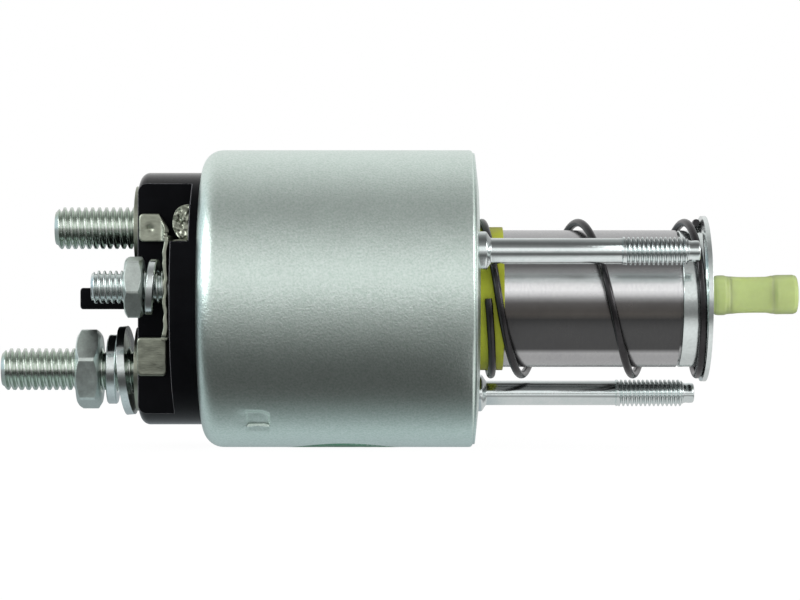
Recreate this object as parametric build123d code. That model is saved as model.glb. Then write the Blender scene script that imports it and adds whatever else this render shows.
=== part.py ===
from build123d import *
import os
from math import cos, pi, radians, sin, sqrt, tan

os.makedirs("parts", exist_ok=True)

# Vehicle starter solenoid, in millimetres.
# The axis of the solenoid is X, and +X points to the plunger and its link. +Z is up.
# The origin is the centre of the mounting face, the front of the front plate.
# Lengths named ..._x are places along the axis, and the others are sizes.

# Clearances
fit_gap = 0.05               # round a piece that is pressed or moulded into another
stack_gap = 0.1              # along the axis, between pieces stacked in the can
running_gap = 0.075          # round the plunger in its guide tube
rod_gap = 0.06               # round the contact rod in its bush
loose_gap = 0.3              # round a stud in a loose washer
touch_gap = 0.02             # between a spring's end and its seat

# Can
can_radius = 26.75
can_length = 48.25
can_wall = 2.2
can_lip = 1.75               # how far the rear lip is rolled in from the bore
can_lip_flat = 0.15          # left flat on the rear face, inside its round corner
can_inner_round = 0.8
can_edge_round = 0.6
dent_angle = 52.8            # below the level of the axis, on the side of -Y
dent_from_rear = 9.5         # from the can's rear face to the middle of the dent's floor
dent_size = 3.6
dent_depth = 0.9
dent_ramp = 1.7

# Front plate
plate_step = 0.55            # how much smaller the plate's rim is than the can
plate_proud = 0.95
plate_spigot = 3.35
plate_flat_radius = 21.0     # of the flat face, which falls away in a shallow cone outside it
plate_fall = 0.6             # of the cone, down to the plate's rim
seat_depth = 0.3             # of the recesses for the spring's first turn and the studs' collars
seat_margin = 0.4            # round the spring in its recess

# Guide tube, coil and fixed core
plunger_radius = 12.325
guide_wall = 0.5
guide_nose = 4.45
barrel_wall = 0.9            # wall of the bobbin under the windings
flange_thickness = 1.2
flange_clearance = 0.25      # between a flange and the can
pull_in_share = 0.495        # of the windings' depth, for the inner winding
coil_margin = 0.5            # from the outer winding to the flanges' rims
core_thickness = 5.0
core_boss_length = 14.2
core_boss_gap = 0.2
core_pocket_radius = 6.5
core_pocket_depth = 8.5
bush_wall = 0.9
bush_short = 0.15

# Plunger, link and meshing spring
stroke = 11.0
end_gap = 0.5                # left between plunger and core at full stroke
plunger_length = 47.1
plunger_chamfer = 0.8
neck_radius = 11.35
neck_length = 4.55
cavity_radius = 9.0
cavity_depth = 26.15
link_radius = 3.3
link_bead_radius = 3.6
link_end_radius = 3.55
link_head_radius = 8.5
link_head_thickness = 3.5
link_head_gap = 0.25
link_lean = 0.7              # of the link, up towards its tip inside its play
link_lift = 0.56             # of the link's axis where it leaves the retainer
link_reach = 16.55           # from the retainer's face to the link's end
link_neck_length = 1.7
link_bead_length = 2.2
link_end_length = 3.95
link_flat_depth = 0.45
slot_width = 3.0
slot_length = 7.6
mesh_wire = 2.0
mesh_mean_radius = 6.2
mesh_turns = 5.5

# Spring retainer and return spring
retainer_radius = 14.9
retainer_thickness = 0.8
retainer_collar_wall = 0.9
retainer_shoulder_gap = 0.4
retainer_hole_radius = 4.0
retainer_bend = 0.5
spring_wire = 1.4
spring_mean_radius = 13.7
spring_turns = 3.75
spring_open_start = 0.86     # in turns from the start, where the open pitch begins
spring_open_turns = 1.96
spring_ease_turns = 0.3      # over which the pitch opens, before and after that place
spring_lean = 2.94           # how far the first turn leans off its seat
spring_lean_place = 0.26     # in turns, where it stands off most
spring_lean_turns = 1.0      # after which the lean is gone
spring_steps = 8             # points of the spring's path in each turn

# Front studs
stud_margin = 4.55           # from the studs' circle to the can's bore
upper_stud_angle = 65.6      # from +Z towards -Y
lower_stud_angle = 210.0
stud_collar_radius = 3.4
stud_collar_height = 1.8
stud_shank_radius = 2.25
upper_shank_length = 23.05   # of the stud nearer to +Z
lower_shank_length = 24.0
stud_thread_radius = 2.45
upper_thread_length = 11.35
lower_thread_length = 12.2
stud_point_radius = 1.9
stud_point_length = 2.0
stud_head_radius = 3.3
stud_head_height = 1.5

# Cap
cap_clearance = 0.15         # round the cap in the can's lip
cap_flange_gap = 0.15
cap_flange_thickness = 3.7   # of the rim that is held in the can
cap_collar_low = 4.6         # from the can's rear face to the lower shoulder
cap_collar_high = 1.5        # from the can's rear face to the recessed upper shoulder
recess_margin = 12.75        # from the cap's top to the recess's floor
block_reach = 11.1           # from the can's rear face to the block's end face
block_to_stud = 6.5          # from the block's flat side to the middle of the control stud
block_round = 1.5
bar_length = 10.2
bar_thickness = 3.8
bar_round = 0.8
cap_wall = 4.65              # round the contact chamber
chamber_depth = 6.3
spring_pocket_radius = 5.2
spring_pocket_depth = 6.5
gasket_thickness = 1.0
gasket_width = 0.95
lead_rise = 3.6              # from the recess's floor to the middle of the lead
lead_margin = 7.65           # from the cap's side to the middle of the lead
lead_width = 3.0
lead_thickness = 0.8
tongue_height = 6.6          # of the lead's flattened end
tongue_foot = 0.6

# Contact studs and their hardware
contact_stud_radius = 3.9
contact_stud_share = 0.5607  # of the cap's radius, out to the middle of a contact stud
contact_shank_radius = 4.4    # of the stretch that is moulded into the cap
upper_stud_reach = 15.6      # from the block's end face to the stud's tip
lower_stud_reach = 25.7
stud_chamfer = 0.9
contact_head_radius = 6.3
contact_head_thickness = 3.0
base_washer_radius = 7.5
base_washer_thickness = 1.0
flat_washer_radius = 8.0
flat_washer_thickness = 1.4
flat_washer_place = 2.7      # from the block's end face to the middle of the washer
flat_washer_lean = 5.0
flat_washer_turn = 3.5
lock_washer_radius = 6.35
lock_washer_thickness = 1.7
lock_washer_rise = 0.35
lock_washer_place = 4.6
lock_washer_turn = -53
nut_across_flats = 13.0
nut_thickness = 4.0
nut_place = 7.8
nut_turn = 45.0

# Control terminal
small_stud_radius = 2.95
small_stud_margin = 6.15     # from the cap's side to the middle of the stud
small_stud_z = 2.0
small_stud_reach = 13.9      # from the lower shoulder to the tip
small_stud_chamfer = 0.6
small_stud_foot = 3.6
small_foot_radius = 4.0
small_foot_thickness = 1.5
small_washer_radius = 4.95
small_washer_thickness = 1.6
small_washer_rise = 1.5
small_washer_turn = 90
small_nut_across_flats = 10.0
small_nut_thickness = 3.5
small_nut_turn = 9.0
strip_thickness = 0.8
strip_stand = 0.2            # from the block's flat side to the strip's ears
strip_margin = 2.05          # from the cap's side to the web's near edge
strip_top_z = 11.0
strip_bottom_z = -6.8
strip_hole_gap = 0.2
low_ear_length = 5.3
low_ear_height = 6.9
low_ear_offset = 1.6         # from the shoulder to the ear's edge
high_ear_length = 5.0
high_ear_height = 5.0
ear_round = 0.8

# Moving contact
contact_travel = 3.0
contact_overtravel = 1.0
contact_left = 0.05          # left between disc and heads, and between rod and plunger
rod_radius = 2.5
rod_collar_radius = 5.0
rod_collar_thickness = 1.0
rod_collar_place = 1.0       # from the pocket's floor to the collar
disc_clearance = 1.5         # round the disc in its chamber
disc_thickness = 2.0
disc_place = 0.8             # from the core to the disc
insulator_radius = 6.2
insulator_sleeve = 4.0
insulator_thickness = 0.5
clip_radius = 4.2
clip_thickness = 0.8
clip_groove = 0.5
rod_tail = 1.5
pressure_wire = 0.9
pressure_mean_radius = 4.2
pressure_turns = 3.5
contact_wire = 0.8
contact_mean_radius = 3.9
contact_turns = 4.5

# Places along the axis
rim_x = -plate_proud
rear_x = rim_x - can_length
lip_x = rear_x + can_wall
plate_back_x = rim_x - plate_spigot
front_flange_x = plate_back_x - stack_gap
coil_front_x = front_flange_x - flange_thickness
cap_flange_back_x = lip_x + gasket_thickness
cap_front_x = cap_flange_back_x + cap_flange_thickness
core_back_x = cap_front_x + stack_gap
core_front_x = core_back_x + core_thickness
back_flange_x = core_front_x + stack_gap
coil_back_x = back_flange_x + flange_thickness
core_face_x = core_front_x + core_boss_length
plunger_back_x = core_face_x + end_gap + stroke
plunger_front_x = plunger_back_x + plunger_length
neck_front_x = plunger_front_x + neck_length
cavity_floor_x = neck_front_x - cavity_depth
retainer_back_x = neck_front_x + fit_gap
retainer_front_x = retainer_back_x + retainer_thickness
lower_shoulder_x = rear_x - cap_collar_low
upper_shoulder_x = rear_x - cap_collar_high
block_x = rear_x - block_reach
chamber_x = core_back_x - chamber_depth
disc_front_x = core_back_x - disc_place
disc_back_x = disc_front_x - disc_thickness
contact_gap = contact_travel - contact_overtravel + contact_left
head_x = disc_back_x - contact_gap
rod_tip_x = core_face_x + end_gap - contact_left + contact_travel
pocket_floor_x = core_back_x + core_pocket_depth
rod_collar_front_x = pocket_floor_x - rod_collar_place
rod_collar_back_x = rod_collar_front_x - rod_collar_thickness

# Sizes across the axis that follow from the sizes above
can_bore = can_radius - can_wall
can_opening_radius = can_bore - can_lip
can_rear_round = can_wall + can_lip - can_lip_flat
plate_radius = can_radius - plate_step
stud_circle = can_bore - stud_margin
seat_radius = spring_mean_radius + spring_wire / 2 + seat_margin
cap_radius = can_opening_radius - cap_clearance
chamber_radius = cap_radius - cap_wall
disc_radius = chamber_radius - disc_clearance
contact_stud_z = cap_radius * contact_stud_share
small_stud_y = small_stud_margin - cap_radius
block_flat_y = -small_stud_y - block_to_stud
bar_depth = 2 * block_flat_y
recess_bottom_z = cap_radius - recess_margin
strip_far_y = block_flat_y + strip_stand
strip_near_y = cap_radius - strip_margin
lead_slot_y = cap_radius - lead_margin
lead_slot_z = recess_bottom_z + lead_rise
guide_bore = plunger_radius + running_gap
guide_radius = guide_bore + guide_wall
barrel_radius = guide_bore + barrel_wall
flange_radius = can_bore - flange_clearance
spigot_radius = can_bore - fit_gap
boss_radius = guide_bore - core_boss_gap
coil_radius = flange_radius - coil_margin
coil_split_radius = barrel_radius + pull_in_share * (coil_radius - barrel_radius)
bush_bore = rod_radius + rod_gap
bush_radius = bush_bore + bush_wall


def turned(outline, rounds=()):
    """A solid of revolution about X. The outline lists (x, radius) corners, and rounds
    lists (corner number, fillet radius)."""
    face = make_face(Polyline(*outline, close=True))
    for number, size in rounds:
        place = Vector(*outline[number])
        corner = face.vertices().sort_by_distance(place)[0]
        face = fillet(corner, size)
    return revolve(face, Axis.X)


def tube(back_x, front_x, inner, outer):
    """A plain ring or tube about X."""
    return turned([(back_x, inner), (front_x, inner), (front_x, outer), (back_x, outer)])


def rod(back_x, front_x, radius):
    """A plain cylinder about X."""
    return turned([(back_x, 0), (front_x, 0), (front_x, radius), (back_x, radius)])


def block(x_span, y_span, z_span):
    """A box between two corners."""
    sizes = [high - low for low, high in (x_span, y_span, z_span)]
    middle = [(high + low) / 2 for low, high in (x_span, y_span, z_span)]
    return Pos(*middle) * Box(*sizes)


def coil(back_x, front_x, mean_radius, wire, turns):
    """A helical spring of even pitch that fills the space between two seats."""
    length = front_x - back_x - wire - 2 * touch_gap
    path = Helix(length / turns, length, mean_radius)
    section = Plane(path @ 0, z_dir=path % 0) * Circle(wire / 2)
    spring = sweep(section, path, is_frenet=True)
    return Pos(back_x + wire / 2 + touch_gap, 0, 0) * Rot(0, 90, 0) * spring


def hex_nut(across_flats, thickness, bore, turn):
    """A nut on the X axis, from 0 to its thickness, with both rims chamfered."""
    flats = RegularPolygon(across_flats / 2, 6, major_radius=False) - Circle(bore)
    nut = extrude(Plane.YZ * flats, thickness)
    corner = across_flats / sqrt(3)
    rim = across_flats / 2 * 0.97
    slope = (corner - rim) * tan(radians(30))
    shape = [(0, 0), (0, rim), (slope, corner), (thickness - slope, corner)]
    shape += [(thickness, rim), (thickness, 0)]
    return Rot(turn, 0, 0) * (nut & turned(shape))


def split_washer(inner, outer, thickness, rise, turn):
    """A spring lock washer: one left-handed turn of flat wire, open at the split."""
    share = 0.965
    mean = (inner + outer) / 2
    path = Helix(rise, rise * share, mean, lefthand=True)
    frame = Plane(path @ 0, x_dir=Vector(1, 0, 0), z_dir=path % 0)
    section = frame * Rectangle(outer - inner, thickness)
    washer = sweep(section, path, is_frenet=True)
    return Rot(turn, 0, 0) * Pos(thickness / 2, 0, 0) * Rot(0, 90, 0) * washer


def on_circle(angle):
    """The place of a front stud, with its angle from +Z towards -Y."""
    return (-stud_circle * sin(radians(angle)), stud_circle * cos(radians(angle)))


def make_housing():
    shell = turned(
        [
            (rim_x, can_bore),
            (rim_x, can_radius),
            (rear_x, can_radius),
            (rear_x, can_opening_radius),
            (lip_x, can_opening_radius),
            (lip_x, can_bore),
        ],
        [(1, can_edge_round), (2, can_rear_round), (5, can_inner_round)],
    )
    return shell - dent_tool(dent_depth)


def dent_tool(depth):
    """The stamp that stakes the can: a floor with a ramp on its rear side."""
    middle = rear_x + dent_from_rear
    front = middle + dent_size / 2
    back = middle - dent_size / 2
    top = can_radius + 1
    rise = can_radius - depth
    side = [(front, rise), (front, top), (back - dent_ramp, top), (back - dent_ramp, can_radius)]
    side += [(back, rise)]
    stamp = extrude(make_face(Polyline(*side, close=True)), dent_size / 2, both=True)
    return Rot(180 + dent_angle, 0, 0) * stamp


def make_front_plate():
    plate = turned(
        [
            (plate_back_x, guide_radius + fit_gap),
            (-seat_depth, guide_radius + fit_gap),
            (-seat_depth, seat_radius),
            (0, seat_radius),
            (0, plate_flat_radius),
            (-plate_fall, plate_radius),
            (rim_x, plate_radius),
            (rim_x, spigot_radius),
            (plate_back_x, spigot_radius),
        ]
    )
    for angle in (upper_stud_angle, lower_stud_angle):
        y, z = on_circle(angle)
        plate -= Pos(0, y, z) * stud_hole()
    return plate


def stud_hole():
    """The hole of a front stud, countersunk at the back and spot-faced for the collar."""
    back = plate_back_x
    shank = stud_shank_radius + fit_gap
    head = stud_head_radius + fit_gap
    collar = stud_collar_radius + fit_gap
    floor = -seat_depth
    outline = [(back, 0), (0, 0), (0, collar), (floor, collar), (floor, shank)]
    return turned(outline + [(back + stud_head_height, shank), (back, head)])


def make_mounting_stud(angle, shank_length, thread_length):
    back = plate_back_x
    shank_end = stud_collar_height + shank_length
    thread_end = shank_end + thread_length
    tip = thread_end + stud_point_length
    step = stud_thread_radius - stud_shank_radius
    dome = stud_collar_height * 0.55
    taper = stud_thread_radius - stud_point_radius
    y, z = on_circle(angle)
    stud = turned(
        [
            (back, 0),
            (back, stud_head_radius - fit_gap),
            (back + stud_head_height, stud_shank_radius),
            (-seat_depth, stud_shank_radius),
            (-seat_depth, stud_collar_radius),
            (stud_collar_height - dome, stud_collar_radius),
            (stud_collar_height, stud_shank_radius),
            (shank_end, stud_shank_radius),
            (shank_end + step, stud_thread_radius),
            (thread_end - taper, stud_thread_radius),
            (thread_end, stud_point_radius),
            (tip, stud_point_radius),
            (tip, 0),
        ],
        [(5, dome / 2), (11, stud_point_radius / 4)],
    )
    return Pos(0, y, z) * stud


def make_coil_bobbin():
    bobbin = turned(
        [
            (back_flange_x, guide_bore),
            (guide_nose, guide_bore),
            (guide_nose, guide_radius),
            (front_flange_x, guide_radius),
            (front_flange_x, flange_radius),
            (coil_front_x, flange_radius),
            (coil_front_x, barrel_radius),
            (coil_back_x, barrel_radius),
            (coil_back_x, flange_radius),
            (back_flange_x, flange_radius),
        ]
    )
    return bobbin - lead_slot(coil_back_x, back_flange_x)


def lead_slot(front_x, back_x):
    """The way of the winding's end through a flange, the core or the cap's wall."""
    y_span = (-lead_slot_y - lead_thickness, -lead_slot_y + lead_thickness)
    half = lead_width / 2 + stack_gap
    z_span = (lead_slot_z - half, lead_slot_z + half)
    return block((back_x - 1, front_x + 1), y_span, z_span)


def make_stator_core():
    core = turned(
        [
            (core_back_x, 0),
            (core_back_x, spigot_radius),
            (core_front_x, spigot_radius),
            (core_front_x, boss_radius),
            (core_face_x, boss_radius),
            (core_face_x, 0),
        ],
        [(4, plunger_chamfer)],
    )
    core -= rod(core_back_x, core_face_x, bush_radius + fit_gap)
    core -= rod(core_back_x, pocket_floor_x, core_pocket_radius)
    core -= lead_slot(core_front_x, core_back_x)
    return core


def make_core_bush():
    return tube(pocket_floor_x, core_face_x - bush_short, bush_bore, bush_radius)


def make_terminal_cap():
    cap = turned(
        [
            (cap_front_x, 0),
            (cap_front_x, can_bore - cap_flange_gap),
            (cap_flange_back_x, can_bore - cap_flange_gap),
            (cap_flange_back_x, cap_radius),
            (block_x, cap_radius),
            (block_x, 0),
        ],
        [(4, block_round)],
    )
    wide = 2 * cap_radius
    near = (-wide, -block_flat_y)
    cap -= block((block_x - 1, lower_shoulder_x), near, (-wide, wide))
    cap -= block((lower_shoulder_x - 1, upper_shoulder_x), near, (recess_bottom_z, wide))
    cap += barrier_bar()
    cap -= rod(chamber_x, cap_front_x, chamber_radius)
    cap -= rod(chamber_x - spring_pocket_depth, chamber_x, spring_pocket_radius)
    for side in (1, -1):
        centre = Pos(0, 0, side * contact_stud_z)
        head_back_x = head_x - contact_head_thickness
        cap -= centre * rod(block_x, chamber_x, contact_shank_radius + fit_gap)
        cap -= centre * rod(head_back_x - fit_gap, head_x, contact_head_radius + fit_gap)
    foot = Pos(0, small_stud_y, small_stud_z)
    cap -= foot * small_stud_shape(fit_gap)
    cap -= lead_slot(cap_front_x, upper_shoulder_x)
    return cap


def barrier_bar():
    """The wall that keeps the two contact studs' cable lugs apart."""
    profile = RectangleRounded(bar_depth, bar_thickness, bar_round)
    bar = extrude(Plane.YZ.offset(block_x) * profile, -bar_length)
    outer = bar.faces().sort_by(Axis.X)[0]
    return fillet(outer.edges(), bar_round * 0.6)


def small_stud_shape(gap):
    """The control stud's moulded-in foot, with an optional gap round it."""
    top = lower_shoulder_x
    foot = top + small_stud_foot
    ledge = foot - small_foot_thickness
    return turned(
        [
            (top, 0),
            (top, small_stud_radius + gap),
            (ledge - gap, small_stud_radius + gap),
            (ledge - gap, small_foot_radius + gap),
            (foot + gap, small_foot_radius + gap),
            (foot + gap, 0),
        ]
    )


def make_cap_gasket():
    inner = cap_radius + fit_gap
    return tube(lip_x, cap_flange_back_x, inner, inner + gasket_width)


def make_contact_stud(side, reach):
    """A copper stud: a round head in the chamber and a threaded shank through the block."""
    tip = block_x - reach
    thread_x = block_x - base_washer_thickness
    head_back_x = head_x - contact_head_thickness
    stud = turned(
        [
            (head_x, 0),
            (head_x, contact_head_radius),
            (head_back_x, contact_head_radius),
            (head_back_x, contact_shank_radius),
            (thread_x, contact_shank_radius),
            (thread_x, contact_stud_radius),
            (tip + stud_chamfer, contact_stud_radius),
            (tip, contact_stud_radius - stud_chamfer),
            (tip, 0),
        ]
    )
    return Pos(0, 0, side * contact_stud_z) * stud


def make_base_washers():
    washer = tube(
        block_x - base_washer_thickness,
        block_x,
        contact_shank_radius + fit_gap,
        base_washer_radius,
    )
    return [Pos(0, 0, side * contact_stud_z) * washer for side in (1, -1)]


def make_flat_washer():
    half = flat_washer_thickness / 2
    ring = tube(-half, half, contact_stud_radius + loose_gap, flat_washer_radius)
    tilt = Rot(0, -flat_washer_lean, 0) * Rot(0, 0, -flat_washer_turn)
    hang = loose_gap * 0.7
    return Pos(block_x - flat_washer_place, 0, -contact_stud_z - hang) * tilt * ring


def make_lock_washer():
    washer = split_washer(
        contact_stud_radius + loose_gap / 2,
        lock_washer_radius,
        lock_washer_thickness,
        lock_washer_rise,
        lock_washer_turn,
    )
    back = block_x - lock_washer_place - lock_washer_thickness
    return Pos(back, 0, -contact_stud_z) * washer


def make_stud_nut():
    nut = hex_nut(nut_across_flats, nut_thickness, contact_stud_radius + fit_gap, nut_turn)
    return Pos(block_x - nut_place - nut_thickness, 0, -contact_stud_z) * nut


def make_small_stud():
    tip = lower_shoulder_x - small_stud_reach
    shank = turned(
        [
            (lower_shoulder_x, 0),
            (lower_shoulder_x, small_stud_radius),
            (tip + small_stud_chamfer, small_stud_radius),
            (tip, small_stud_radius - small_stud_chamfer),
            (tip, 0),
        ]
    )
    return Pos(0, small_stud_y, small_stud_z) * (shank + small_stud_shape(0))


def make_strip():
    """The control terminal's strip: a web under the nut and two ears on the block."""
    front = lower_shoulder_x - fit_gap
    back = front - strip_thickness
    near = (-strip_near_y, -strip_far_y)
    strip = block((back, front), near, (strip_bottom_z, strip_top_z))
    hole = rod(back - 1, front + 1, small_stud_radius + strip_hole_gap)
    strip -= Pos(0, small_stud_y, small_stud_z) * hole
    ear_near = (-strip_far_y - strip_thickness, -strip_far_y)
    ear_front = lower_shoulder_x - low_ear_offset
    low_bottom = strip_bottom_z - low_ear_height
    low_top = strip_bottom_z
    low = ear((ear_front - low_ear_length, ear_front), (low_bottom, low_top))
    neck = block((ear_front - 1, front), ear_near, (low_top - 1.6, low_top + 0.6))
    high_bottom = strip_top_z - 1
    high = ear((back - high_ear_length, back), (high_bottom, high_bottom + high_ear_height))
    bend = block((back - 1, front), ear_near, (high_bottom, high_bottom + high_ear_height))
    return strip + low + neck + high + bend


def ear(x_span, z_span):
    """A flat ear that lies on the near face of the block, with rounded corners."""
    length = x_span[1] - x_span[0]
    height = z_span[1] - z_span[0]
    middle = Pos(sum(x_span) / 2, sum(z_span) / 2)
    face = Plane.XZ.offset(strip_far_y) * middle * RectangleRounded(length, height, ear_round)
    return extrude(face, strip_thickness)


def make_winding_lead():
    """The end of the winding, led out through the cap's wall and pressed into a D."""
    near = (-lead_slot_y - lead_thickness / 2, -lead_slot_y + lead_thickness / 2)
    half = lead_width / 2
    run = block((upper_shoulder_x, coil_back_x), near, (lead_slot_z - half, lead_slot_z + half))
    front = upper_shoulder_x - stack_gap
    back = lower_shoulder_x - fit_gap
    low = recess_bottom_z + stack_gap
    high = low + tongue_height
    outline = Line((front, low), (front, high))
    outline += ThreePointArc((front, high), (back, (low + high) / 2), (back + tongue_foot, low))
    outline += Line((back + tongue_foot, low), (front, low))
    tongue = Plane.XZ.offset(lead_slot_y - lead_thickness / 2) * make_face(outline)
    leaf = extrude(tongue, lead_thickness)
    link = block((front - 1, upper_shoulder_x + 1), near, (lead_slot_z - half, lead_slot_z + half))
    return run + leaf + link


def make_contact_rod():
    tail_x = disc_back_x - insulator_thickness - clip_thickness - rod_tail
    stem = turned(
        [
            (tail_x, 0),
            (tail_x, rod_radius),
            (rod_tip_x, rod_radius),
            (rod_tip_x, 0),
        ],
        [(1, rod_radius / 4), (2, rod_radius / 3)],
    )
    stem += rod(rod_collar_back_x, rod_collar_front_x, rod_collar_radius)
    groove_x = disc_back_x - insulator_thickness - clip_thickness
    groove = tube(groove_x, groove_x + clip_thickness, rod_radius - clip_groove, rod_radius + 1)
    return stem - groove


def make_contact_disc():
    return tube(disc_back_x, disc_front_x, insulator_sleeve + fit_gap, disc_radius)


def make_contact_insulator():
    bore = rod_radius + rod_gap
    return turned(
        [
            (disc_front_x + insulator_thickness, bore),
            (disc_front_x + insulator_thickness, insulator_radius),
            (disc_front_x, insulator_radius),
            (disc_front_x, insulator_sleeve),
            (disc_back_x - insulator_thickness, insulator_sleeve),
            (disc_back_x - insulator_thickness, bore),
        ]
    )


def make_rod_clip():
    back = disc_back_x - insulator_thickness - clip_thickness
    ring = tube(
        back + touch_gap,
        back + clip_thickness - touch_gap,
        rod_radius - clip_groove + fit_gap,
        clip_radius,
    )
    mouth = block((back, back + clip_thickness), (-clip_radius, 0), (-1.4, 1.4))
    return ring - mouth


def make_plunger():
    body = turned(
        [
            (plunger_back_x, 0),
            (plunger_back_x, plunger_radius),
            (plunger_front_x, plunger_radius),
            (plunger_front_x, neck_radius),
            (neck_front_x, neck_radius),
            (neck_front_x, cavity_radius),
            (cavity_floor_x, cavity_radius),
            (cavity_floor_x, 0),
        ]
    )
    edges = body.edges().filter_by(GeomType.CIRCLE)
    back = [e for e in edges if abs(e.center().X - plunger_back_x) < 0.01]
    return chamfer(back, plunger_chamfer)


def make_spring_retainer():
    inner = neck_radius + fit_gap
    outer = inner + retainer_collar_wall
    collar_back_x = plunger_front_x + retainer_shoulder_gap
    return turned(
        [
            (retainer_front_x, retainer_hole_radius),
            (retainer_front_x, retainer_radius),
            (retainer_back_x, retainer_radius),
            (retainer_back_x, outer),
            (collar_back_x, outer),
            (collar_back_x, inner),
            (retainer_back_x, inner),
            (retainer_back_x, retainer_hole_radius),
        ],
        [(3, retainer_bend), (4, 0.25)],
    )


def eased(turn):
    """Turns of open pitch passed by a place, with a smooth start round 0."""
    if turn < -spring_ease_turns:
        return 0
    if turn > spring_ease_turns:
        return turn
    return (turn + spring_ease_turns) ** 2 / (4 * spring_ease_turns)


def spring_place(turn, start, end):
    """The spring's place along X after a number of turns, smooth from seat to seat."""
    swing = (1 + cos(2 * pi * (turn - spring_lean_place))) / 2
    lean = spring_lean * swing * max(0, 1 - turn / spring_lean_turns)
    open_end = spring_open_start + spring_open_turns
    share = (eased(turn - spring_open_start) - eased(turn - open_end)) / spring_open_turns
    return start + lean + (end - start) * share


def make_return_spring():
    start = spring_wire / 2 + touch_gap - seat_depth
    end = retainer_back_x - spring_wire / 2 - touch_gap
    count = round(spring_turns * spring_steps)
    turns = [spring_turns * number / count for number in range(count + 1)]
    lowest = min(spring_place(turn, start, end) for turn in turns)
    let_down = (end - start) / (end - lowest)
    points = []
    for turn in turns:
        x = end - (end - spring_place(turn, start, end)) * let_down
        angle = 2 * pi * turn
        points.append((x, -spring_mean_radius * cos(angle), -spring_mean_radius * sin(angle)))
    path = Spline(*points)
    section = Plane(path @ 0, z_dir=path % 0) * Circle(spring_wire / 2)
    return sweep(section, path, is_frenet=True)


def make_plunger_link():
    head_back_x = cavity_floor_x + link_head_gap
    head_front_x = head_back_x + link_head_thickness
    neck_end = retainer_front_x + link_neck_length
    bead_end = neck_end + link_bead_length
    tip = retainer_front_x + link_reach
    end_start = tip - link_end_length
    link = turned(
        [
            (head_back_x, 0),
            (head_back_x, link_head_radius),
            (head_front_x, link_head_radius),
            (head_front_x, link_radius),
            (neck_end, link_radius),
            (neck_end, link_bead_radius),
            (bead_end, link_bead_radius),
            (bead_end, link_radius),
            (end_start, link_radius),
            (end_start, link_end_radius),
            (tip, link_end_radius),
            (tip, 0),
        ],
        [(1, 0.5), (2, 0.5), (5, 0.2), (6, 0.2), (10, 0.7)],
    )
    middle = (bead_end + end_start) / 2
    for side in (1, -1):
        low = link_radius - link_flat_depth
        flat_y = sorted((side * low, side * (link_radius + 1)))
        link -= block((bead_end, end_start), flat_y, (-link_radius, link_radius))
    slot = Pos(middle, 0, 0) * SlotOverall(slot_length, slot_width)
    link -= extrude(slot, link_radius + 1, both=True)
    lean = Rot(0, -link_lean, 0)
    return Pos(retainer_back_x, 0, link_lift) * lean * Pos(-retainer_back_x, 0, 0) * link


def make_mesh_spring():
    rise = (mesh_mean_radius + mesh_wire / 2) * sin(radians(link_lean))
    seat = cavity_floor_x + link_head_gap + link_head_thickness + rise
    return coil(seat, retainer_back_x, mesh_mean_radius, mesh_wire, mesh_turns)


def make_pressure_spring():
    seat = disc_front_x + insulator_thickness
    return coil(seat, rod_collar_back_x, pressure_mean_radius, pressure_wire, pressure_turns)


def make_contact_spring():
    floor = chamber_x - spring_pocket_depth
    seat = disc_back_x - insulator_thickness - clip_thickness
    return coil(floor, seat, contact_mean_radius, contact_wire, contact_turns)


def make_small_nut():
    bore = small_stud_radius + fit_gap
    nut = hex_nut(small_nut_across_flats, small_nut_thickness, bore, small_nut_turn)
    back = small_washer_back() - touch_gap - small_nut_thickness
    return Pos(back, small_stud_y, small_stud_z) * nut


def small_washer_back():
    strip_back = lower_shoulder_x - fit_gap - strip_thickness
    return strip_back - small_washer_thickness - small_washer_rise - touch_gap


def make_small_washer():
    inner = small_stud_radius + fit_gap
    washer = split_washer(
        inner,
        small_washer_radius,
        small_washer_thickness,
        small_washer_rise,
        small_washer_turn,
    )
    return Pos(small_washer_back(), small_stud_y, small_stud_z) * washer


pieces = {
    "housing": make_housing(),
    "front_plate": make_front_plate(),
    "mounting_stud_upper": make_mounting_stud(
        upper_stud_angle, upper_shank_length, upper_thread_length
    ),
    "mounting_stud_lower": make_mounting_stud(
        lower_stud_angle, lower_shank_length, lower_thread_length
    ),
    "coil_bobbin": make_coil_bobbin(),
    "pull_in_winding": tube(
        coil_back_x + stack_gap, coil_front_x - stack_gap, barrel_radius + fit_gap, coil_split_radius
    ),
    "hold_in_winding": tube(
        coil_back_x + stack_gap, coil_front_x - stack_gap, coil_split_radius + fit_gap, coil_radius
    ),
    "stator_core": make_stator_core(),
    "core_bush": make_core_bush(),
    "terminal_cap": make_terminal_cap(),
    "cap_gasket": make_cap_gasket(),
    "upper_contact_stud": make_contact_stud(1, upper_stud_reach),
    "lower_contact_stud": make_contact_stud(-1, lower_stud_reach),
    "stud_base_washers": make_base_washers(),
    "lower_stud_flat_washer": make_flat_washer(),
    "lower_stud_lock_washer": make_lock_washer(),
    "lower_stud_nut": make_stud_nut(),
    "terminal_50_stud": make_small_stud(),
    "terminal_50_lock_washer": make_small_washer(),
    "terminal_50_nut": make_small_nut(),
    "terminal_50_strip": make_strip(),
    "winding_lead": make_winding_lead(),
    "contact_rod": make_contact_rod(),
    "rod_clip": make_rod_clip(),
    "contact_disc": make_contact_disc(),
    "contact_insulator": make_contact_insulator(),
    "contact_pressure_spring": make_pressure_spring(),
    "contact_return_spring": make_contact_spring(),
    "plunger": make_plunger(),
    "spring_retainer": make_spring_retainer(),
    "return_spring": make_return_spring(),
    "plunger_link": make_plunger_link(),
    "mesh_spring": make_mesh_spring(),
}

for name, piece in pieces.items():
    shape = Compound(children=piece) if isinstance(piece, list) else piece
    export_step(shape, f"parts/{name}.step")
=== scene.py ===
import math

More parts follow.
